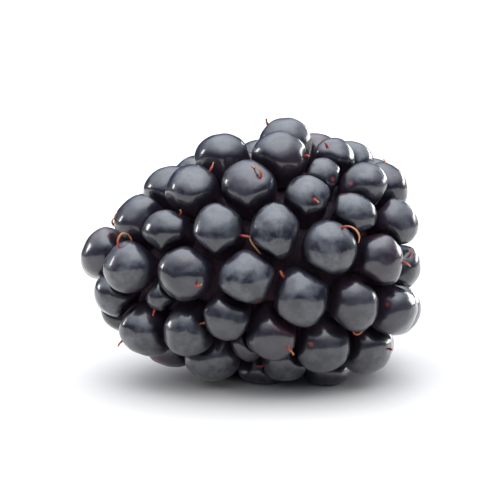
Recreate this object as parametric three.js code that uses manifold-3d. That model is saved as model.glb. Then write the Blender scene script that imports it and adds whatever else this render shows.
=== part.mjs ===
// A bramble berry, as picked, lying on its side.
//
// Nearly eighty drupelets are grown together round a pale fleshy receptacle, which
// shows at the stem end. Millimetres, +Z up. The berry's long axis lies close to
// the X axis, with the tip towards +X and the stem end towards -X. The origin is on
// the surface that the berry rests on, under the middle of its box.

import * as THREE from "three";
import { mergeVertices } from "three/addons/utils/BufferGeometryUtils.js";
import Module from "manifold-3d";

const wasm = await Module();
wasm.setup();

// ---- Driving dimensions, in millimetres unless named otherwise ----

// The drupelets' middles lie on an egg-shaped seat.
const SEAT_LENGTH = 24.5;
const SEAT_WIDTH = 16.3;
const SEAT_BLUNTNESS = 2.05; // 2 is an ellipse, more is a blunter egg
const SEAT_TAPER = 0.28; // share by which the tip is narrower and the stem end wider

const DRUPELETS = 78;
const SIZE_SPREAD = 0.45; // a strong drupelet wins this much room from its neighbours
const RUNT_EVERY = 9; // one in this many stayed small
const RUNT_LOSS = 0.8; // and lost this much room
const MOUTH_RADIUS = 4.2; // of the part of the seat that stays open at the stem end
const MOUTH_PLACES = 3; // drupelets that the mouth leaves out
const LIFT = 0.35; // a drupelet's middle may lie this far above or below the seat
const SIZE_LIFT = 0.5; // and larger ones lie higher by this share of their extra radius
const LEAN_DEG = 12; // its axis may lean this far from square to the seat

// One drupelet, in shares of its radius: it would be a plump oval.
const FULLNESS = 1.17; // its half width
const OVALNESS = 0.14; // share by which it may be longer than it is wide
const OUTWARD = 1.16; // how far it stands out from its middle
const INWARD = 1.3; // how far it reaches in towards the receptacle

// Neighbours press it in.
const NEIGHBOUR_RANGE = 7.4; // between the middles of two that press on each other
const PUSHINESS = 1.8; // how much a large drupelet dents a small one
const MOST_BULGE = 0.35; // one over the radius of the deepest dent
const ROUNDING = 12; // how sharply the pressed sides meet, less is softer
const OVERLAP = 0.12; // pressed sides sink this far into each other, to grow together

const CORE_DEPTH = 0.9; // the flesh between the drupelets lies this far below the seat

const RECEPTACLE_RECESS = 1.7; // its face lies this far inside the seat's stem end
const RECEPTACLE_LENGTH = 16; // from that face to its tip
const FACE_RADIUS = 2.4;
const RECEPTACLE_RADIUS = 2.6; // at its widest
const WIDEST_DEPTH = 1.9; // from its face to where it is widest
const RECEPTACLE_TIP_RADIUS = 1.5;
const RIM_RADIUS = 1.7; // of the ring of torn flesh that stands out from its face
const RIM_HEIGHT = 0.25;
const DIMPLE_RADIUS = 0.9; // where the stalk's pith tore out of that face
const DIMPLE_FLOOR_RADIUS = 0.5;
const DIMPLE_DEPTH = 0.8;
const CLEARANCE = 0.3; // between the receptacle and the flesh round it
const MOUTH_FLARE = 1.0; // the flesh opens by this much outside the receptacle's face

const ROLL_DEG = 340; // turn about the long axis that the berry has settled at
const PITCH_DEG = 5; // how far the tip points down
const FLAT_DEPTH = 0.7; // the drupelets underneath are pressed flat this deep

const SEED = 72;
const GOLDEN_ANGLE = Math.PI * (3 - Math.sqrt(5));
const SPOTS = 4000; // points that stand for the seat's area
const SLICES = 2000; // thin rings of the seat that its area is added up over
const SETTLING_STEPS = 25;
const SEATING_STEPS = 3; // repeats that bring a point onto the seat
const SLOPE_STEP = 1e-4; // distance over which the seat's slope is taken

// Facets.
const DRUPELET_SIDES = 9;
const DRUPELET_RINGS_DEG = [180, 105, 78, 54, 28, 0]; // from a drupelet's root to its outer end
const CORE_SIDES = 20;
const CORE_STEPS = 12;
const RECEPTACLE_SIDES = 24;
const FINEST = 0.02; // detail smaller than this is left out
const SAME_CORNER = 1e-5; // corners closer than this are one
const GROUND_SIZE = 4 * SEAT_LENGTH; // of the block underneath, wider than the berry

// ---- The seat ----

// Its radius about the long axis at x, before its ends close.
const seatWidthAt = (x) => (SEAT_WIDTH / 2) * (1 - (SEAT_TAPER * 2 * x) / SEAT_LENGTH);

// How far its ends have closed at a share of its half length, from 1 to 0.
const closing = (share) => (1 - Math.abs(share) ** SEAT_BLUNTNESS) ** (1 / SEAT_BLUNTNESS);

// Under 1 inside the seat, 1 on it, over 1 outside.
function seatLevel(p) {
  const along = Math.abs(p.x) / (SEAT_LENGTH / 2);
  const across = Math.hypot(p.y, p.z) / seatWidthAt(p.x);
  return along ** SEAT_BLUNTNESS + across ** SEAT_BLUNTNESS;
}

// Moves a point out or in along its ray from the middle until it is on the seat.
function putOnSeat(p) {
  for (let i = 0; i < SEATING_STEPS; i++) p.multiplyScalar(seatLevel(p) ** (-1 / SEAT_BLUNTNESS));
  return p;
}

// The seat's outward direction, from how its level changes about the point.
function seatNormal(p) {
  const slope = (x, y, z) => {
    const step = new THREE.Vector3(x, y, z).multiplyScalar(SLOPE_STEP);
    return seatLevel(p.clone().add(step)) - seatLevel(p.clone().sub(step));
  };
  return new THREE.Vector3(slope(1, 0, 0), slope(0, 1, 0), slope(0, 0, 1)).normalize();
}

// Thin rings of the seat from its tip to its stem end, each with the area up to it.
function seatRings() {
  const half = SEAT_LENGTH / 2;
  const rings = [];
  let before = { x: half, radius: 0, area: 0 };
  for (let i = 0; i < SLICES; i++) {
    const share = 1 - (2 * (i + 0.5)) / SLICES;
    const ring = { x: half * share, radius: seatWidthAt(half * share) * closing(share) };
    const slant = Math.hypot(ring.x - before.x, ring.radius - before.radius);
    ring.area = before.area + Math.PI * (ring.radius + before.radius) * slant;
    rings.push(ring);
    before = ring;
  }
  return rings;
}

const SEAT_RINGS = seatRings();
const SEAT_AREA = SEAT_RINGS.at(-1).area;
const MOUTH = putOnSeat(new THREE.Vector3(-1, 0, 0));

// A spiral of points from the tip to the stem end, an equal area of seat to each.
function spiralPlaces(count) {
  return Array.from({ length: count }, (_, k) => {
    const wanted = (SEAT_AREA * (k + 0.5)) / count;
    const { x, radius } = SEAT_RINGS.find((ring) => ring.area >= wanted);
    const turn = k * GOLDEN_ANGLE;
    return new THREE.Vector3(x, radius * Math.cos(turn), radius * Math.sin(turn));
  });
}

// ---- Where the drupelets sit ----

// A small seeded random number generator, from 0 up to 1.
function makeRandom(seed) {
  let state = seed;
  return () => {
    state = (Math.imul(state, 1664525) + 1013904223) >>> 0;
    return state / 2 ** 32;
  };
}

// Shares the spots out: each goes to the nearest drupelet, and a gain brings one
// nearer. Returns each drupelet's spots.
function shareOut(places, gains, spots) {
  const held = places.map(() => []);
  for (const spot of spots) {
    let nearest = 0;
    let least = Infinity;
    places.forEach((place, i) => {
      const away = spot.distanceTo(place) - gains[i];
      if (away < least) [nearest, least] = [i, away];
    });
    held[nearest].push(spot);
  }
  return held;
}

// All the drupelets. Each has a middle, an outward direction, a radius, and a
// direction along which it is longer, by a stretch. Every drupelet moves to the
// middle of the patch of seat that it holds, until all have settled.
function growDrupelets() {
  const random = makeRandom(SEED);
  const places = spiralPlaces(DRUPELETS + MOUTH_PLACES).slice(0, DRUPELETS);
  const gains = places.map((_, k) => {
    const runt = k % RUNT_EVERY === RUNT_EVERY - 1;
    return SIZE_SPREAD * (2 * random() - 1) - (runt ? RUNT_LOSS : 0);
  });
  const spots = spiralPlaces(SPOTS).filter((spot) => spot.distanceTo(MOUTH) > MOUTH_RADIUS);
  for (let step = 0; step < SETTLING_STEPS; step++) {
    shareOut(places, gains, spots).forEach((held, i) => {
      const middle = held.reduce((sum, spot) => sum.add(spot), new THREE.Vector3());
      places[i] = putOnSeat(middle.divideScalar(held.length));
    });
  }
  const radii = shareOut(places, gains, spots).map((held) =>
    Math.sqrt((held.length * SEAT_AREA) / SPOTS / Math.PI),
  );
  const meanRadius = radii.reduce((sum, radius) => sum + radius, 0) / radii.length;
  const lean = 2 * Math.tan(THREE.MathUtils.degToRad(LEAN_DEG));
  const anyWay = () => new THREE.Vector3(random() - 0.5, random() - 0.5, random() - 0.5);
  return places.map((place, i) => {
    const normal = seatNormal(place);
    const outward = normal.clone().addScaledVector(anyWay(), lean).normalize();
    const lift = LIFT * (2 * random() - 1) + (radii[i] - meanRadius) * SIZE_LIFT;
    const along = outward.clone().cross(anyWay()).normalize();
    const stretch = 1 + OVALNESS * random();
    const middle = place.clone().addScaledVector(normal, lift);
    return { middle, outward, along, stretch, radius: radii[i] };
  });
}

// ---- The shape of one drupelet ----

// The drupelets that press on one: which way each lies, how far off the wall
// between the two is, and how much that wall bulges towards this drupelet.
function wallsOf(drupelet, all) {
  const walls = [];
  for (const other of all) {
    const gap = other.middle.clone().sub(drupelet.middle);
    const distance = gap.length();
    if (other === drupelet || distance > NEIGHBOUR_RANGE) continue;
    const share = (drupelet.radius ** 2 - other.radius ** 2) / (2 * distance ** 2);
    const bulge = PUSHINESS * (1 / drupelet.radius - 1 / other.radius);
    walls.push({
      towards: gap.divideScalar(distance),
      distance: distance * (0.5 + share) + OVERLAP / 2,
      bulge: THREE.MathUtils.clamp(bulge, -MOST_BULGE, MOST_BULGE),
    });
  }
  return walls;
}

// How far a drupelet reaches from its middle in a direction. Its walls press the
// plump oval in, and a power mean of the two rounds the corners.
function reach(drupelet, walls, direction) {
  const { outward, along, stretch, radius } = drupelet;
  const out = direction.dot(outward);
  const length = direction.dot(along) / stretch;
  const width = direction.dot(outward.clone().cross(along)) * stretch;
  const height = out > 0 ? OUTWARD : INWARD;
  const free = Math.hypot(length / FULLNESS, width / FULLNESS, out / height) / radius;
  let sum = free ** ROUNDING;
  for (const wall of walls) {
    // A ray meets the wall, part of a sphere, at this share of one over its length.
    const bend = wall.bulge * wall.distance;
    const facing = (1 + bend) * direction.dot(wall.towards);
    const inside = facing * facing - bend * (bend + 2);
    if (inside <= 0) continue;
    const share = (facing + Math.sqrt(inside)) / (wall.distance * (bend + 2));
    if (share > 0) sum += share ** ROUNDING;
  }
  return sum ** (-1 / ROUNDING);
}

// ---- Solids ----

// A closed three.js geometry as a manifold-3d solid.
function solidOf(geometry) {
  const plain = geometry.clone();
  plain.deleteAttribute("normal");
  plain.deleteAttribute("uv");
  const merged = mergeVertices(plain, SAME_CORNER);
  const vertProperties = new Float32Array(merged.attributes.position.array);
  const triVerts = new Uint32Array(merged.index.array);
  return new wasm.Manifold(new wasm.Mesh({ numProp: 3, vertProperties, triVerts }));
}

// A manifold-3d solid as a three.js geometry, flat-shaded and without slivers.
function geometryOf(solid) {
  const { vertProperties, triVerts } = solid.asOriginal().simplify(FINEST).getMesh();
  const geometry = new THREE.BufferGeometry();
  geometry.setAttribute("position", new THREE.BufferAttribute(vertProperties, 3));
  geometry.setIndex(new THREE.BufferAttribute(triVerts, 1));
  const faceted = geometry.toNonIndexed();
  faceted.computeVertexNormals();
  return faceted;
}

// One drupelet: a ball of rings about its axis, with each corner moved to the skin.
function drupeletSolid(drupelet, all) {
  const walls = wallsOf(drupelet, all);
  const outline = DRUPELET_RINGS_DEG.map((degrees) => {
    const angle = THREE.MathUtils.degToRad(degrees);
    return new THREE.Vector2(degrees % 180 === 0 ? 0 : Math.sin(angle), Math.cos(angle));
  });
  const geometry = new THREE.LatheGeometry(outline, DRUPELET_SIDES);
  const turn = new THREE.Quaternion().setFromUnitVectors(new THREE.Vector3(0, 1, 0), drupelet.outward);
  const position = geometry.attributes.position;
  const direction = new THREE.Vector3();
  for (let i = 0; i < position.count; i++) {
    direction.fromBufferAttribute(position, i).applyQuaternion(turn).normalize();
    const far = reach(drupelet, walls, direction);
    position.setXYZ(i, ...direction.multiplyScalar(far).add(drupelet.middle).toArray());
  }
  return solidOf(geometry);
}

// A solid of revolution about the long axis: the outline is [x, radius] pairs,
// from the stem end to the tip, and starts and ends on the axis.
function turnedSolid(outline, sides) {
  const points = outline.map(([x, radius]) => new THREE.Vector2(radius, x));
  return solidOf(new THREE.LatheGeometry(points, sides).rotateZ(-Math.PI / 2));
}

// The flesh that the drupelets are rooted in, an egg a little smaller than the seat.
function coreSolid() {
  const half = SEAT_LENGTH / 2 - CORE_DEPTH;
  const outline = [[-half, 0]];
  for (let i = 1; i < CORE_STEPS; i++) {
    const share = -Math.cos((Math.PI * i) / CORE_STEPS);
    outline.push([half * share, (seatWidthAt(half * share) - CORE_DEPTH) * closing(share)]);
  }
  outline.push([half, 0]);
  return turnedSolid(outline, CORE_SIDES);
}

const FACE_X = -SEAT_LENGTH / 2 + RECEPTACLE_RECESS;

// The receptacle's side, from its face to its rounded tip, grown by a margin.
function receptacleSide(margin) {
  const tip = RECEPTACLE_TIP_RADIUS + margin;
  const tipMiddle = FACE_X + RECEPTACLE_LENGTH - RECEPTACLE_TIP_RADIUS;
  return [
    [FACE_X, FACE_RADIUS + margin],
    [FACE_X + WIDEST_DEPTH, RECEPTACLE_RADIUS + margin],
    [tipMiddle, tip],
    [tipMiddle + Math.SQRT1_2 * tip, Math.SQRT1_2 * tip],
    [tipMiddle + tip, 0],
  ];
}

// The receptacle, with the dimple and the rim in its face.
function receptacleSolid() {
  const face = [
    [FACE_X + DIMPLE_DEPTH, 0],
    [FACE_X + DIMPLE_DEPTH, DIMPLE_FLOOR_RADIUS],
    [FACE_X, DIMPLE_RADIUS],
    [FACE_X - RIM_HEIGHT, RIM_RADIUS],
  ];
  return turnedSolid([...face, ...receptacleSide(0)], RECEPTACLE_SIDES);
}

// What the flesh leaves open: the receptacle's room, and the mouth outside it.
function roomSolid() {
  const outside = -SEAT_LENGTH / 2 - RECEPTACLE_RADIUS;
  const mouth = [
    [outside, 0],
    [outside, RECEPTACLE_RADIUS + CLEARANCE + MOUTH_FLARE],
  ];
  return turnedSolid([...mouth, ...receptacleSide(CLEARANCE)], RECEPTACLE_SIDES);
}

// The drupelets, grown together round the room that the receptacle takes.
function clusterSolid() {
  const drupelets = growDrupelets();
  const room = turnedSolid([[FACE_X, 0], ...receptacleSide(CLEARANCE)], RECEPTACLE_SIDES);
  return wasm.Manifold.union([
    coreSolid().subtract(roomSolid()),
    ...drupelets.map((drupelet) => drupeletSolid(drupelet, drupelets)),
  ]).subtract(room);
}

// Lays the solids down as the berry has settled, presses the lowest drupelets of
// the first one flat, and puts the origin under the middle of its box.
function layDown(solids) {
  const settled = new THREE.Matrix4()
    .makeRotationY(THREE.MathUtils.degToRad(PITCH_DEG))
    .multiply(new THREE.Matrix4().makeRotationX(THREE.MathUtils.degToRad(ROLL_DEG)));
  const turned = solids.map((solid) => solid.transform(settled.elements));
  const low = turned[0].boundingBox().min[2] + FLAT_DEPTH;
  const block = new THREE.BoxGeometry(GROUND_SIZE, GROUND_SIZE, GROUND_SIZE);
  const ground = solidOf(block.translate(0, 0, low - GROUND_SIZE / 2));
  const pressed = turned.map((solid) => solid.subtract(ground));
  const { min, max } = pressed[0].boundingBox();
  return pressed.map((solid) => solid.translate([-(min[0] + max[0]) / 2, -(min[1] + max[1]) / 2, -low]));
}

// ---- The berry ----

const skin = new THREE.MeshStandardMaterial({ color: 0x17121b, roughness: 0.28, metalness: 0 });
const flesh = new THREE.MeshStandardMaterial({ color: 0xb59a5c, roughness: 0.7, metalness: 0 });

const [cluster, receptacle] = layDown([clusterSolid(), receptacleSolid()]);

const berry = new THREE.Group();
for (const [name, solid, material] of [
  ["drupelets", cluster, skin],
  ["receptacle", receptacle, flesh],
]) {
  const mesh = new THREE.Mesh(geometryOf(solid), material);
  mesh.name = name;
  berry.add(mesh);
}

export default berry;
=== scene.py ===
"""A bramble berry, as picked, lying on its side on a pale table.

The CAD frame gives the berry's place. The drupelets follow the same rule here as
in the CAD, with fine skins in place of faceted ones. This script adds the flesh
that shows between them, a fibrous receptacle and the dried styles. The layout
rule works in millimetres, in the berry's own frame: the long axis is X, with the
tip at +X. Everything that Blender gets is in metres.
"""

import math

import bpy
import numpy as np
from mathutils import Matrix, Vector, noise


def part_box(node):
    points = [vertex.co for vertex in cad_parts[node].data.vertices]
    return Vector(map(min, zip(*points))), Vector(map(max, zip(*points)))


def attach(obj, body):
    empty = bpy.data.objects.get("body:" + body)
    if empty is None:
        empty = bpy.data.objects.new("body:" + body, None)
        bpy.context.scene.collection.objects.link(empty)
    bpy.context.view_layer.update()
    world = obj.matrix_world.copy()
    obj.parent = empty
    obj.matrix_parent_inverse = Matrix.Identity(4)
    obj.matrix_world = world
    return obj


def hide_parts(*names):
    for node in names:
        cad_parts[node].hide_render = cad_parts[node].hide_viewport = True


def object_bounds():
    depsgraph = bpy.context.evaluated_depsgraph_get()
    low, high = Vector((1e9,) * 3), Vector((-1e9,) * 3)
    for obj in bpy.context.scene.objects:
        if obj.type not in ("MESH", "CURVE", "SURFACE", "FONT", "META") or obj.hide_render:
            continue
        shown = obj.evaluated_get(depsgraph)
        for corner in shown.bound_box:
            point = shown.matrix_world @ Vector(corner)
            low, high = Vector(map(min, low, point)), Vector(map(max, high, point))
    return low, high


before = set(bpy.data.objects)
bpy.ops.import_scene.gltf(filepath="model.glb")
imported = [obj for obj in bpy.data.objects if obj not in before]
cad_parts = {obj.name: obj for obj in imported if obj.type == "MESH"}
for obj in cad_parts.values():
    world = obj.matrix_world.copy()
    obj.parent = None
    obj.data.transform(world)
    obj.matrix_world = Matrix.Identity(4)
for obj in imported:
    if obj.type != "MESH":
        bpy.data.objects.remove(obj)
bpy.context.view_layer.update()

MM = 0.001

# ---- The layout rule: lengths are in millimetres, the same values as in the CAD ----

SEAT_LENGTH = 24.5
SEAT_WIDTH = 16.3
SEAT_BLUNTNESS = 2.05
SEAT_TAPER = 0.28

DRUPELETS = 78
SIZE_SPREAD = 0.45
RUNT_EVERY = 9
RUNT_LOSS = 0.8
MOUTH_RADIUS = 4.2
MOUTH_PLACES = 3
LIFT = 0.35
SIZE_LIFT = 0.5
LEAN_DEG = 12

FULLNESS = 1.17
OVALNESS = 0.14
OUTWARD = 1.16
INWARD = 1.3

NEIGHBOUR_RANGE = 7.4
PUSHINESS = 1.8
MOST_BULGE = 0.35
ROUNDING = 12

RECEPTACLE_RECESS = 1.7
RECEPTACLE_LENGTH = 16
FACE_RADIUS = 2.4
RECEPTACLE_RADIUS = 2.6
WIDEST_DEPTH = 1.9
RECEPTACLE_TIP_RADIUS = 1.5
RIM_RADIUS = 1.7
RIM_HEIGHT = 0.25
DIMPLE_RADIUS = 0.9
DIMPLE_FLOOR_RADIUS = 0.5
DIMPLE_DEPTH = 0.8
CLEARANCE = 0.3
MOUTH_FLARE = 1.0

ROLL_DEG = 340
PITCH_DEG = 5

SEED = 72
GOLDEN_ANGLE = math.pi * (3 - math.sqrt(5))
SPOTS = 4000
SETTLING_STEPS = 25
SLICES = 2000
SEATING_STEPS = 3
SLOPE_STEP = 1e-4
RECEPTACLE_SIDES = 24
RECEPTACLE_TIP_STEPS = 2  # as many as the CAD's outline has

# ---- What this script adds: lengths are in millimetres ----

REST_GAP = 0.02  # the pressed skins stay this far off the table
PRESSED_EDGE = 0.25  # how softly a pressed skin turns up off the table

SKIN_GAP = 0.13  # a skin stops this share short of the wall between two drupelets
SKIN_SIDES = 44
SKIN_RINGS = 20
SHOWN_DEG = 102  # from the outermost point of a skin to where the flesh hides it
HIDDEN_RINGS_DEG = [118, 140]
RIPPLE = 0.10
RIPPLE_SIZE = 1.5
FINE_RIPPLE = 0.03
FINE_RIPPLE_SIZE = 0.6
SCAR_DEPTH = 0.10
SCAR_RADIUS = 0.30

FLESH_DEPTH = 1.5  # of the flesh that shows between the drupelets, below the seat
FLESH_LIP = 0.4  # it starts this share of the way up the mouth's flare
FLESH_EGG_STEPS = 60
FLESH_STEPS = 150
FLESH_UNEVENNESS = 0.03  # as a share
FLESH_LUMP_SIZE = 1.1

PLUG_STEPS = 110
FIBRES = 13  # ridges round the receptacle's side
FIBRE_HEIGHT = 0.08
TORN = 0.34
TORN_SIZE = 0.9
FINELY_TORN = 0.15
FINELY_TORN_SIZE = 0.4
TURNED_SIDES = 96

STYLE_SEED = 5
STYLE_SIDES = 8
STYLE_STEPS = 22
BARE_BELOW = 0.35  # a drupelet whose draw is under this lost its style
STUB_BELOW = 0.68  # and one under this kept a short stub; the rest kept a long curl
STUB_RADIUS = 0.11
CURL_RADIUS = 0.10
STYLE_ROOT_DEPTH = 0.12
STYLE_SWAY = 0.10  # how far a style wanders at each step
STYLE_CLEARANCE = 0.05  # from the skins that it curls over
FREE_STEPS = 2  # of a style that may still lie in a skin, where it leaves the scar
LOWEST_STYLE = 0.15  # a style that would come nearer to the table fell off

# ---- The stage and the camera: lengths are in metres ----

TABLE_SIDES = 128
TABLE_MIDDLE = 0.0001
TABLE_NEAR = 0.11
TABLE_EDGE = 1.5
SKY = 2.8  # brightness of the studio overhead

VIEW_AZIMUTH = 170
VIEW_ELEVATION = 13
VIEW_DISTANCE = 0.226
CLIP_START = 0.001
LENS = 200  # in millimetres, as is the sensor
SENSOR = 36


def make_random(seed):
    """A small seeded random number generator, from 0 up to 1."""
    state = seed

    def draw():
        nonlocal state
        state = (state * 1664525 + 1013904223) % 2**32
        return state / 2**32

    return draw


def unit(vectors):
    return vectors / np.linalg.norm(vectors, axis=-1, keepdims=True)


# ---- The seat that the drupelets' middles lie on ----


def seat_width_at(x):
    """Its radius about the long axis at x, before its ends close."""
    return (SEAT_WIDTH / 2) * (1 - SEAT_TAPER * 2 * x / SEAT_LENGTH)


def closing(share):
    """How far its ends have closed at a share of its half length, from 1 to 0."""
    return np.maximum(0, 1 - np.abs(share) ** SEAT_BLUNTNESS) ** (1 / SEAT_BLUNTNESS)


def seat_level(points):
    """Under 1 inside the seat, 1 on it, over 1 outside."""
    along = np.abs(points[..., 0]) / (SEAT_LENGTH / 2)
    across = np.hypot(points[..., 1], points[..., 2]) / seat_width_at(points[..., 0])
    return along**SEAT_BLUNTNESS + across**SEAT_BLUNTNESS


def put_on_seat(points):
    """Moves points out or in along their rays from the middle until they are on the seat."""
    for _ in range(SEATING_STEPS):
        points = points * seat_level(points)[..., None] ** (-1 / SEAT_BLUNTNESS)
    return points


def seat_normals(points):
    steps = SLOPE_STEP * np.eye(3)
    slopes = [seat_level(points + step) - seat_level(points - step) for step in steps]
    return unit(np.stack(slopes, axis=-1))


def seat_rings():
    """Thin rings from the tip to the stem end: x, radius, and the area up to each."""
    share = 1 - 2 * (np.arange(SLICES) + 0.5) / SLICES
    x = SEAT_LENGTH / 2 * share
    radius = seat_width_at(x) * closing(share)
    x_before = np.append(SEAT_LENGTH / 2, x[:-1])
    radius_before = np.append(0, radius[:-1])
    slant = np.hypot(x - x_before, radius - radius_before)
    return x, radius, np.cumsum(math.pi * (radius + radius_before) * slant)


RING_X, RING_RADIUS, RING_AREA = seat_rings()
MOUTH = put_on_seat(np.array([-1.0, 0.0, 0.0]))


def spiral_places(count):
    """A spiral of points from the tip to the stem end, an equal area of seat to each."""
    k = np.arange(count)
    ring = np.searchsorted(RING_AREA, RING_AREA[-1] * (k + 0.5) / count)
    turn = k * GOLDEN_ANGLE
    radius = RING_RADIUS[ring]
    return np.stack([RING_X[ring], radius * np.cos(turn), radius * np.sin(turn)], axis=-1)


# ---- Where the drupelets sit ----


def share_out(places, gains, spots):
    """Which drupelet holds each spot: the nearest one, and a gain brings one nearer."""
    away = np.linalg.norm(spots[:, None] - places[None], axis=-1) - gains
    return away.argmin(axis=1)


class Drupelet:
    """One drupelet: a plump oval, longer along one way, that its neighbours press in."""

    def __init__(self, middle, outward, along, stretch, radius):
        self.middle = middle
        self.outward = outward
        self.along = along
        self.across = np.cross(outward, along)
        self.stretch = stretch
        self.radius = radius

    def meet(self, everyone):
        """Finds the walls between this drupelet and those that press on it."""
        gaps = {other: other.middle - self.middle for other in everyone if other is not self}
        self.neighbours = [o for o, gap in gaps.items() if np.linalg.norm(gap) <= NEIGHBOUR_RANGE]
        gaps = np.array([gaps[other] for other in self.neighbours])
        radii = np.array([other.radius for other in self.neighbours])
        lengths = np.linalg.norm(gaps, axis=1)
        share = (self.radius**2 - radii**2) / (2 * lengths**2)
        self.wall_towards = gaps / lengths[:, None]
        self.wall_distance = lengths * (0.5 + share) * (1 - SKIN_GAP)
        push = PUSHINESS * (1 / self.radius - 1 / radii)
        self.wall_bulge = np.clip(push, -MOST_BULGE, MOST_BULGE)

    def reach(self, directions):
        """How far the skin is from the middle in each direction."""
        out = directions @ self.outward
        length = directions @ self.along / self.stretch
        width = directions @ self.across * self.stretch
        height = np.where(out > 0, OUTWARD, INWARD)
        free = np.hypot(np.hypot(length, width) / FULLNESS, out / height) / self.radius
        bend = self.wall_bulge * self.wall_distance
        facing = (1 + bend) * (directions @ self.wall_towards.T)
        inside = facing**2 - bend * (bend + 2)
        share = (facing + np.sqrt(np.maximum(inside, 0))) / (self.wall_distance * (bend + 2))
        share = np.where((inside > 0) & (share > 0), share, 0)
        return (free**ROUNDING + (share**ROUNDING).sum(axis=-1)) ** (-1 / ROUNDING)

    def skin(self, direction):
        """The point of the skin in one direction."""
        return self.middle + direction * self.reach(direction[None])[0]


def grow_drupelets():
    """All the drupelets. Each moves to the middle of the patch of seat that it holds."""
    random = make_random(SEED)
    places = spiral_places(DRUPELETS + MOUTH_PLACES)[:DRUPELETS]
    gains = np.array([SIZE_SPREAD * (2 * random() - 1) for _ in places])
    gains[RUNT_EVERY - 1 :: RUNT_EVERY] -= RUNT_LOSS
    spots = spiral_places(SPOTS)
    spots = spots[np.linalg.norm(spots - MOUTH, axis=-1) > MOUTH_RADIUS]
    for _ in range(SETTLING_STEPS):
        holder = share_out(places, gains, spots)
        places = put_on_seat(np.array([spots[holder == i].mean(axis=0) for i in range(DRUPELETS)]))
    held = np.bincount(share_out(places, gains, spots), minlength=DRUPELETS)
    radii = np.sqrt(held * RING_AREA[-1] / SPOTS / math.pi)
    lean = 2 * math.tan(math.radians(LEAN_DEG))
    drupelets = []
    for place, normal, radius in zip(places, seat_normals(places), radii):
        outward = unit(normal + lean * any_way(random))
        lift = LIFT * (2 * random() - 1) + SIZE_LIFT * (radius - radii.mean())
        along = unit(np.cross(outward, any_way(random)))
        stretch = 1 + OVALNESS * random()
        drupelets.append(Drupelet(place + normal * lift, outward, along, stretch, radius))
    for drupelet in drupelets:
        drupelet.meet(drupelets)
    return drupelets


def any_way(random):
    return np.array([random(), random(), random()]) - 0.5


# ---- The receptacle's outline, and the berry's place in the shared frame ----

FACE_X = -SEAT_LENGTH / 2 + RECEPTACLE_RECESS
PITCH = Matrix.Rotation(math.radians(PITCH_DEG), 3, "Y")
ROLL = Matrix.Rotation(math.radians(ROLL_DEG), 3, "X")
SETTLED = np.array(PITCH @ ROLL)


def receptacle_side(margin, rounding_steps):
    """Its side from its face to its rounded tip, as x and radius, grown by a margin."""
    tip = RECEPTACLE_TIP_RADIUS + margin
    tip_middle = FACE_X + RECEPTACLE_LENGTH - RECEPTACLE_TIP_RADIUS
    side = [[FACE_X, FACE_RADIUS + margin], [FACE_X + WIDEST_DEPTH, RECEPTACLE_RADIUS + margin]]
    for turn in np.linspace(0, math.pi / 2, rounding_steps + 1):
        side.append([tip_middle + tip * math.sin(turn), tip * math.cos(turn)])
    return np.array(side)


def receptacle_middle():
    """The middle of the box of the CAD's settled receptacle, before it is laid down."""
    outline = [*receptacle_side(0, RECEPTACLE_TIP_STEPS), [FACE_X - RIM_HEIGHT, RIM_RADIUS]]
    turns = np.linspace(0, 2 * math.pi, RECEPTACLE_SIDES, endpoint=False)
    points = [(x, r * math.cos(turn), r * math.sin(turn)) for x, r in outline for turn in turns]
    settled = np.array(points) @ SETTLED.T
    return (settled.min(axis=0) + settled.max(axis=0)) / 2


SHIFT = np.mean(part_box("receptacle"), axis=0) / MM - receptacle_middle()


def laid_down(points):
    """From the berry's own frame, in millimetres, to the shared frame, in metres.

    What would lie below the table is pressed flat on it, with a soft edge.
    """
    world = points @ SETTLED.T + SHIFT
    height = world[:, 2]
    world[:, 2] = REST_GAP + (height + np.hypot(height, PRESSED_EDGE)) / 2
    return world * MM


# ---- Meshes ----


def add_piece(name, vertices, faces, material, attributes):
    """A smooth mesh object that rides on the berry, with values that its material reads."""
    mesh = bpy.data.meshes.new(name)
    mesh.from_pydata(laid_down(vertices).tolist(), [], faces)
    mesh.shade_smooth()
    mesh.materials.append(material)
    for label, values in attributes.items():
        kind, field = ("FLOAT", "value") if values.ndim == 1 else ("FLOAT_VECTOR", "vector")
        attribute = mesh.attributes.new(label, kind, "POINT")
        attribute.data.foreach_set(field, np.asarray(values, np.float32).ravel())
    piece = bpy.data.objects.new(name, mesh)
    bpy.context.scene.collection.objects.link(piece)
    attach(piece, "root")
    return piece


def ring_faces(rings, sides):
    """Faces of a body of rings of vertices between a first and a last point."""
    faces = []
    last = 1 + rings * sides
    for s in range(sides):
        t = (s + 1) % sides
        faces.append((0, 1 + s, 1 + t))
        for r in range(rings - 1):
            a, b = 1 + r * sides, 1 + (r + 1) * sides
            faces.append((a + s, b + s, b + t, a + t))
        faces.append((last - sides + s, last, last - sides + t))
    return faces


def wobble(points, size, seed):
    """A smooth noise, from -1 to 1, with features of that size in millimetres."""
    offset = Vector((7.3, 3.1, 5.7)) * seed
    return np.array([noise.noise(Vector(p) / size + offset) for p in points])


def dome_directions():
    """A ball's vertices about +Z: even where it shows, and coarse where the flesh hides it."""
    rings = np.radians(np.append(np.linspace(0, SHOWN_DEG, SKIN_RINGS)[1:], HIDDEN_RINGS_DEG))
    turns = 2 * math.pi * np.arange(SKIN_SIDES) / SKIN_SIDES
    grid = np.stack(
        [
            np.outer(np.sin(rings), np.cos(turns)),
            np.outer(np.sin(rings), np.sin(turns)),
            np.outer(np.cos(rings), np.ones(SKIN_SIDES)),
        ],
        axis=-1,
    )
    return np.concatenate([[[0, 0, 1]], grid.reshape(-1, 3), [[0, 0, -1]]]), len(rings)


def turn_to(direction):
    """The turn that takes +Z to a direction, as a matrix."""
    return np.array(Vector((0, 0, 1)).rotation_difference(Vector(direction)).to_matrix())


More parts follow.
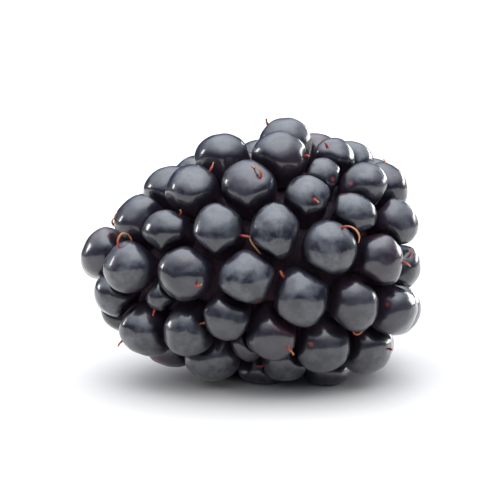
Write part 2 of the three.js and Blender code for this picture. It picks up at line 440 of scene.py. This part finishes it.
def style_roots(drupelets):
    """The direction from each drupelet's middle to the scar where its style dried."""
    random = make_random(STYLE_SEED)
    roots = []
    for drupelet in drupelets:
        tilt = math.radians(30 + 50 * random())
        turn = 2 * math.pi * random()
        sideways = math.cos(turn) * drupelet.along + math.sin(turn) * drupelet.across
        roots.append(math.cos(tilt) * drupelet.outward + math.sin(tilt) * sideways)
    return roots


def skin_mesh(drupelets, roots):
    """All the skins as one mesh: vertices, faces, and what the skin's material reads."""
    directions, rings = dome_directions()
    dome = ring_faces(rings, SKIN_SIDES)
    random = make_random(SEED + 1)
    vertices, faces, scar, tint, outer = [], [], [], [], []
    for i, (drupelet, root) in enumerate(zip(drupelets, roots)):
        turned = directions @ turn_to(drupelet.outward).T
        points = drupelet.middle + turned * drupelet.reach(turned)[:, None]
        from_scar = points - drupelet.skin(root)
        facing_out = turned @ drupelet.outward
        dimple = SCAR_DEPTH * np.exp(-((np.linalg.norm(from_scar, axis=1) / SCAR_RADIUS) ** 2))
        ripple = RIPPLE * wobble(points, RIPPLE_SIZE, i)
        ripple = ripple + FINE_RIPPLE * wobble(points, FINE_RIPPLE_SIZE, i + 100)
        shown = np.clip((facing_out + 0.2) / 0.4, 0, 1)
        vertices.append(points + turned * ((ripple - dimple) * shown)[:, None])
        faces += [tuple(i * len(directions) + v for v in face) for face in dome]
        scar.append(from_scar)
        tint.append(np.full(len(points), random()))
        outer.append(facing_out)
    values = {"scar": scar, "tint": tint, "outer": outer}
    values = {name: np.concatenate(parts) for name, parts in values.items()}
    return np.concatenate(vertices), faces, values


def turned_mesh(outline, sides):
    """A body of revolution about the long axis. The outline starts and ends on the axis."""
    turns = 2 * math.pi * np.arange(sides) / sides
    middle = outline[1:-1]
    grid = np.stack(
        [
            np.repeat(middle[:, :1], sides, axis=1),
            np.outer(middle[:, 1], np.cos(turns)),
            np.outer(middle[:, 1], np.sin(turns)),
        ],
        axis=-1,
    )
    start, end = [outline[0][0], 0, 0], [outline[-1][0], 0, 0]
    vertices = np.concatenate([[start], grid.reshape(-1, 3), [end]])
    return vertices, [tuple(reversed(face)) for face in ring_faces(len(middle), sides)]


def flesh_outline():
    """The flesh between the drupelets: from inside its room out of the mouth and over the egg."""
    half = SEAT_LENGTH / 2 - FLESH_DEPTH
    share = -np.cos(np.linspace(0, math.pi, FLESH_EGG_STEPS))
    radius = (seat_width_at(half * share) - FLESH_DEPTH) * closing(share)
    egg = np.stack([half * share, radius], axis=-1)
    lip = RECEPTACLE_RADIUS + CLEARANCE + FLESH_LIP * MOUTH_FLARE
    egg = egg[(egg[:, 1] > lip) | (egg[:, 0] > 0)]
    egg[-1, 1] = 0
    return np.concatenate([receptacle_side(CLEARANCE, 6)[::-1], egg])


def receptacle_outline():
    """From the bottom of the dimple over the torn face, then along the side to the tip."""
    face = [
        [FACE_X + DIMPLE_DEPTH, 0],
        [FACE_X + DIMPLE_DEPTH, DIMPLE_FLOOR_RADIUS],
        [FACE_X, DIMPLE_RADIUS],
        [FACE_X - RIM_HEIGHT, RIM_RADIUS],
    ]
    return np.concatenate([face, receptacle_side(0, 8)])


def evenly_stepped(outline, count):
    """The same outline in steps of one length."""
    reached = np.append(0, np.cumsum(np.linalg.norm(np.diff(outline, axis=0), axis=1)))
    steps = np.linspace(0, reached[-1], count)
    return np.stack([np.interp(steps, reached, values) for values in outline.T], axis=-1)


# ---- Materials ----


class Shader:
    """A material's node tree, with short ways to add and link nodes."""

    def __init__(self, name, **surface):
        """A material, with sockets of its surface set by name, _ for a space."""
        self.material = bpy.data.materials.new(name)
        self.material.use_nodes = True
        self.nodes = self.material.node_tree.nodes
        self.links = self.material.node_tree.links
        self.surface = self.nodes["Principled BSDF"].inputs
        for socket, value in surface.items():
            self.surface[socket.replace("_", " ")].default_value = value

    def node(self, kind, inputs, **settings):
        """A node with its settings, and its inputs given as numbers, colours or outputs."""
        node = self.nodes.new(kind)
        for name, value in settings.items():
            setattr(node, name, value)
        for name, value in inputs.items():
            socket = node.inputs[name]
            if isinstance(value, bpy.types.NodeSocket):
                self.links.new(value, socket)
            else:
                socket.default_value = value
        return node

    def wear(self, **outputs):
        """Links outputs to sockets of the surface."""
        for socket, output in outputs.items():
            self.links.new(output, self.surface[socket.replace("_", " ")])
        return self.material

    def attribute(self, name, output="Fac"):
        return self.node("ShaderNodeAttribute", {}, attribute_name=name).outputs[output]

    def noise(self, scale, detail=4.0, roughness=0.5):
        """Noise over the piece's own coordinates, in features per millimetre."""
        place = self.node("ShaderNodeTexCoord", {}).outputs["Object"]
        inputs = {"Vector": place, "Scale": scale / MM, "Detail": detail, "Roughness": roughness}
        return self.node("ShaderNodeTexNoise", inputs).outputs["Fac"]

    def times(self, one, other):
        return self.node("ShaderNodeMath", {0: one, 1: other}, operation="MULTIPLY").outputs[0]

    def plus(self, one, other):
        return self.node("ShaderNodeMath", {0: one, 1: other}, operation="ADD").outputs[0]

    def length(self, vector):
        return self.node("ShaderNodeVectorMath", {0: vector}, operation="LENGTH").outputs["Value"]

    def ramp(self, value, low, high, out_low=0.0, out_high=1.0):
        """Takes a value from low..high to out_low..out_high, smoothly, and no further."""
        limits = {"From Min": low, "From Max": high, "To Min": out_low, "To Max": out_high}
        inputs = {"Value": value, **limits}
        return self.node("ShaderNodeMapRange", inputs, interpolation_type="SMOOTHSTEP").outputs[0]

    def mix(self, factor, one, other):
        """Colour one where the factor is 0, and the other where it is 1."""
        node = self.node("ShaderNodeMixRGB", {"Fac": factor})
        for name, color in (("Color1", one), ("Color2", other)):
            if isinstance(color, tuple):
                node.inputs[name].default_value = (*color, 1)
            else:
                self.links.new(color, node.inputs[name])
        return node.outputs[0]

    def relief(self, height, depth, under=None):
        """Bumps of that depth in millimetres, on top of the relief under them."""
        inputs = {"Height": height, "Distance": depth * MM}
        if under is not None:
            inputs["Normal"] = under
        return self.node("ShaderNodeBump", inputs).outputs[0]


def skin_material():
    """Black-purple skin, taut and waxy, with a faint grey bloom, red where it is thin, and painted
    fill light on the flanks that face into the crevices.
    """
    black, purple = (0.006, 0.006, 0.011), (0.014, 0.010, 0.020)
    # The second colour on the next line is a lighter maroon, painted fill light for the flanks in
    # the crevices' shade.
    red, painted_crevice_fill = (0.075, 0.008, 0.016), (0.030, 0.018, 0.029)
    waxy, scarred, speckled = (0.085, 0.092, 0.105), (0.20, 0.030, 0.018), (0.10, 0.085, 0.085)
    s = Shader("drupelet_skin", IOR=1.5, Coat_Weight=0.85, Coat_Roughness=0.10, Coat_IOR=1.5)
    outer = s.attribute("outer")
    color = s.mix(s.ramp(s.noise(0.35), 0.35, 0.7), black, purple)
    tinted = s.ramp(s.attribute("tint"), 0.55, 1.0, 0.0, 0.55)
    color = s.mix(s.times(tinted, s.ramp(s.noise(0.22, 2.0), 0.5, 0.72)), color, red)
    # Painted light: the flanks that face into the crevices get a lighter maroon, a painted fill
    # that lifts their shade.
    color = s.mix(s.ramp(outer, 0.45, -0.1), color, painted_crevice_fill)
    patchy = s.times(s.ramp(s.noise(0.9, 5.0, 0.6), 0.36, 0.66), s.ramp(outer, 0.2, 0.9))
    bloom = s.times(patchy, s.ramp(s.attribute("tint"), 0.1, 0.9, 0.85, 0.2))
    color = s.mix(bloom, color, waxy)
    color = s.mix(s.ramp(s.length(s.attribute("scar", "Vector")), 0.24, 0.12), color, scarred)
    specks = s.times(s.ramp(s.noise(4.5, 1.0), 0.70, 0.75), 0.4)
    color = s.mix(specks, color, speckled)
    grain = s.noise(7.0, 4.0, 0.55)
    rough = s.plus(s.ramp(bloom, 0.0, 0.85, 0.26, 0.44), s.times(grain, 0.08))
    relief = s.relief(s.noise(1.3, 3.0), 0.04)
    relief = s.relief(grain, 0.014, relief)
    relief = s.relief(s.noise(26.0, 2.0), 0.0025, relief)
    return s.wear(Base_Color=color, Roughness=rough, Normal=relief)


def flesh_material():
    """The dark purple flesh that the drupelets are rooted in."""
    s = Shader("berry_flesh", Roughness=0.6, Specular_IOR_Level=0.2)
    color = s.mix(s.ramp(s.noise(0.8), 0.35, 0.65), (0.030, 0.019, 0.030), (0.050, 0.021, 0.032))
    return s.wear(Base_Color=color, Normal=s.relief(s.noise(2.0, 5.0), 0.2))


def receptacle_material():
    """Spongy yellow-brown flesh with darker fibres and juice-stained edges."""
    s = Shader("receptacle_flesh", Roughness=0.72)
    color = s.mix(s.ramp(s.noise(1.2, 5.0), 0.35, 0.65), (0.33, 0.22, 0.070), (0.50, 0.37, 0.15))
    color = s.mix(s.ramp(s.noise(2.4, 4.0, 0.6), 0.54, 0.68), color, (0.19, 0.11, 0.035))
    color = s.mix(s.times(s.attribute("pith"), 0.7), color, (0.20, 0.11, 0.035))
    color = s.mix(s.times(s.attribute("stain"), 0.9), color, (0.16, 0.030, 0.030))
    return s.wear(Base_Color=color, Normal=s.relief(s.noise(3.5, 5.0), 0.12))


def style_material():
    """Dried styles: red-brown where they leave the skin, tan to brown further out."""
    s = Shader("dried_style", Roughness=0.55)
    far = s.mix(s.attribute("shade"), (0.60, 0.32, 0.12), (0.46, 0.16, 0.05))
    color = s.mix(s.ramp(s.attribute("along"), 0.05, 0.60), (0.33, 0.028, 0.028), far)
    color = s.mix(s.ramp(s.noise(6.0), 0.5, 0.75, 0.0, 0.6), color, (0.13, 0.05, 0.025))
    return s.wear(Base_Color=color, Normal=s.relief(s.noise(9.0), 0.02))


def table_material():
    s = Shader("pale_table", Roughness=0.6)
    color = s.mix(s.ramp(s.noise(0.05), 0.3, 0.7), (0.67, 0.635, 0.59), (0.69, 0.655, 0.61))
    return s.wear(Base_Color=color)


# ---- The berry's pieces ----


def build_skins(drupelets, roots):
    vertices, faces, values = skin_mesh(drupelets, roots)
    skins = add_piece("drupelet_skins", vertices, faces, skin_material(), values)
    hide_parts("drupelets")


def build_flesh():
    vertices, faces = turned_mesh(evenly_stepped(flesh_outline(), FLESH_STEPS), TURNED_SIDES)
    uneven = 1 + FLESH_UNEVENNESS * wobble(vertices, FLESH_LUMP_SIZE, 7)
    flesh = add_piece("berry_flesh", vertices * uneven[:, None], faces, flesh_material(), {})


def build_receptacle():
    """The plug, with fibres along its side and a torn, uneven face."""
    vertices, faces = turned_mesh(evenly_stepped(receptacle_outline(), PLUG_STEPS), TURNED_SIDES)
    turn = np.arctan2(vertices[:, 2], vertices[:, 1])
    radius = np.hypot(vertices[:, 1], vertices[:, 2])
    on_face = np.clip((FACE_X + 0.3 - vertices[:, 0]) / 0.4, 0, 1)
    fibres = FIBRE_HEIGHT * np.sin(FIBRES * turn + 5 * wobble(vertices, 1.5, 3)) * (1 - on_face)
    coarse = TORN * wobble(vertices, TORN_SIZE, 4)
    torn = (coarse + FINELY_TORN * wobble(vertices, FINELY_TORN_SIZE, 5)) * on_face
    fade = np.minimum(1, radius)
    sideways = [fibres * fade * np.cos(turn), fibres * fade * np.sin(turn)]
    shape = np.stack([torn * fade, *sideways], axis=-1)
    ragged = radius + 0.3 * wobble(vertices, 0.8, 6)
    stain = np.clip((ragged - 0.70 * RECEPTACLE_RADIUS) / 0.6, 0, 1)
    pith = np.clip((1.3 * DIMPLE_RADIUS - ragged) / 0.5, 0, 1)
    values = {"stain": stain, "pith": pith}
    plug = add_piece("receptacle_plug", vertices + shape, faces, receptacle_material(), values)
    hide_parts("receptacle")


def clear_of_skins(point, drupelets, thickness):
    """Moves a point out of any drupelet that it is in."""
    for drupelet in drupelets:
        away = point - drupelet.middle
        far = np.linalg.norm(away)
        skin = drupelet.reach((away / far)[None])[0] + thickness
        if far < skin:
            point = drupelet.middle + away * skin / far
    return point


def style_path(drupelet, root, length, curl, random):
    """A thread's points: out of the scar, then curling over and along the skins."""
    axis = unit(np.cross(root, any_way(random)))
    around = np.array(Matrix.Rotation(curl / STYLE_STEPS, 3, Vector(axis)))
    near = [drupelet, *drupelet.neighbours]
    heading = root
    points = [drupelet.skin(root) - STYLE_ROOT_DEPTH * root]
    for step in range(STYLE_STEPS):
        heading = unit(around @ heading + STYLE_SWAY * any_way(random))
        point = points[-1] + heading * length / STYLE_STEPS
        if step > FREE_STEPS:
            point = clear_of_skins(point, near, STYLE_CLEARANCE)
            heading = unit(heading + unit(point - points[-1]))
        points.append(point)
    return np.array(points)


def tube(path, radii, sides):
    """A thread round a path, closed at both ends: its vertices and faces."""
    heading = unit(np.gradient(path, axis=0))
    turns = 2 * math.pi * np.arange(sides) / sides
    side = unit(np.cross(heading[0], [0.31, 0.77, 0.55]))
    rings = []
    for point, ahead, radius in zip(path, heading, radii):
        side = unit(side - ahead * (side @ ahead))
        circle = np.outer(np.cos(turns), side) + np.outer(np.sin(turns), np.cross(ahead, side))
        rings.append(point + radius * circle)
    vertices = np.concatenate([[path[0]], *rings, [path[-1] + heading[-1] * radii[-1]]])
    return vertices, [tuple(reversed(face)) for face in ring_faces(len(path), sides)]


def build_styles(drupelets, roots):
    """Most of the drupelets kept a dried style: short stubs, and some long curls."""
    random = make_random(STYLE_SEED + 1)
    vertices, faces, along, shade = [], [], [], []
    for drupelet, root in zip(drupelets, roots):
        kind, size, bend, hue = random(), random(), random(), random()
        if kind < BARE_BELOW:
            continue
        if kind < STUB_BELOW:
            length, curl, thick = 0.35 + 0.5 * size, math.radians(30 + 60 * bend), STUB_RADIUS
        else:
            length, curl, thick = 1.3 + 1.5 * size, math.radians(90 + 150 * bend), CURL_RADIUS
        path = style_path(drupelet, root, length, curl, random)
        if laid_down(path)[:, 2].min() < LOWEST_STYLE * MM:
            continue
        share = np.linspace(0, 1, len(path))
        radii = thick * (1 - 0.5 * share) * (1 + 0.15 * np.sin(9 * share + 6 * hue))
        points, thread = tube(path, radii, STYLE_SIDES)
        faces += [tuple(len(vertices) + v for v in face) for face in thread]
        vertices.extend(points)
        along.extend([0, *np.repeat(share, STYLE_SIDES) * min(1, length / 1.5), 1])
        shade.extend([hue] * len(points))
    values = {"along": np.array(along), "shade": np.array(shade)}
    add_piece("styles", np.array(vertices), faces, style_material(), values)


# ---- Stage, lights and camera ----


def from_camera(turn, elevation):
    """A direction from the berry, turned from the camera to its right, in degrees."""
    a, e = math.radians(VIEW_AZIMUTH + turn), math.radians(elevation)
    return Vector((math.sin(a) * math.cos(e), -math.cos(a) * math.cos(e), math.sin(e)))


def add_table(name, inner, outer, material):
    """A level ring of table round the berry."""
    s = TABLE_SIDES
    turns = np.linspace(0, 2 * math.pi, s, endpoint=False)
    circle = np.stack([np.cos(turns), np.sin(turns), np.zeros(s)], axis=-1)
    mesh = bpy.data.meshes.new(name)
    faces = [(i, s + i, s + (i + 1) % s, (i + 1) % s) for i in range(s)]
    mesh.from_pydata(np.concatenate([inner * circle, outer * circle]).tolist(), [], faces)
    mesh.materials.append(material)
    table = bpy.data.objects.new(name, mesh)
    bpy.context.scene.collection.objects.link(table)
    return table


def build_stage():
    """A pale table. Only its near part shows in the skins' gloss."""
    material = table_material()
    add_table("table", TABLE_MIDDLE, TABLE_NEAR, material)
    add_table("table_beyond", TABLE_NEAR, TABLE_EDGE, material).visible_glossy = False


def soft_light(name, direction, away, size, energy):
    data = bpy.data.lights.new(name, "AREA")
    data.shape = "RECTANGLE"
    data.size, data.size_y = size
    data.energy = energy
    lamp = bpy.data.objects.new(name, data)
    lamp.location = target + direction * away
    lamp.rotation_euler = (-direction).to_track_quat("-Z", "Y").to_euler()
    bpy.context.scene.collection.objects.link(lamp)


def build_world():
    """A studio: bright above, and dark along the horizon, as the gloss shows it."""
    world = bpy.data.worlds.new("studio")
    bpy.context.scene.world = world
    world.use_nodes = True
    nodes, links = world.node_tree.nodes, world.node_tree.links
    place = nodes.new("ShaderNodeTexCoord")
    split = nodes.new("ShaderNodeSeparateXYZ")
    ramp = nodes.new("ShaderNodeValToRGB")
    links.new(place.outputs["Generated"], split.inputs[0])
    links.new(split.outputs["Z"], ramp.inputs["Fac"])
    links.new(ramp.outputs["Color"], nodes["Background"].inputs["Color"])
    stops = ramp.color_ramp.elements
    stops[0].position, stops[0].color = 0.15, (0.008, 0.012, 0.026, 1)
    stops[1].position, stops[1].color = 0.90, (1.06, 1.13, 1.23, 1)
    stops.new(0.32).color = (0.07, 0.08, 0.12, 1)
    stops.new(0.62).color = (0.50, 0.54, 0.60, 1)
    nodes["Background"].inputs["Strength"].default_value = SKY


def build_camera():
    camera = bpy.data.objects.new("camera", bpy.data.cameras.new("camera"))
    bpy.context.scene.collection.objects.link(camera)
    bpy.context.scene.camera = camera
    camera.data.lens = LENS
    camera.data.sensor_width = SENSOR
    camera.data.clip_start = CLIP_START
    back = from_camera(0, VIEW_ELEVATION)
    camera.location = target + back * VIEW_DISTANCE
    camera.rotation_euler = (-back).to_track_quat("-Z", "Y").to_euler()


drupelets = grow_drupelets()
roots = style_roots(drupelets)
build_skins(drupelets, roots)
build_flesh()
build_receptacle()
build_styles(drupelets, roots)

berry_low, berry_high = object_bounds()
target = (berry_low + berry_high) / 2
build_stage()
build_world()
soft_light("overhead", from_camera(20, 75), 0.60, (0.60, 0.60), 0.7)
soft_light("window", from_camera(-108, 14), 0.45, (0.09, 0.13), 0.5)
soft_light("back_card", from_camera(136, 7), 0.45, (0.36, 0.10), 0.8)
build_camera()
bpy.context.scene.view_settings.view_transform = "Standard"
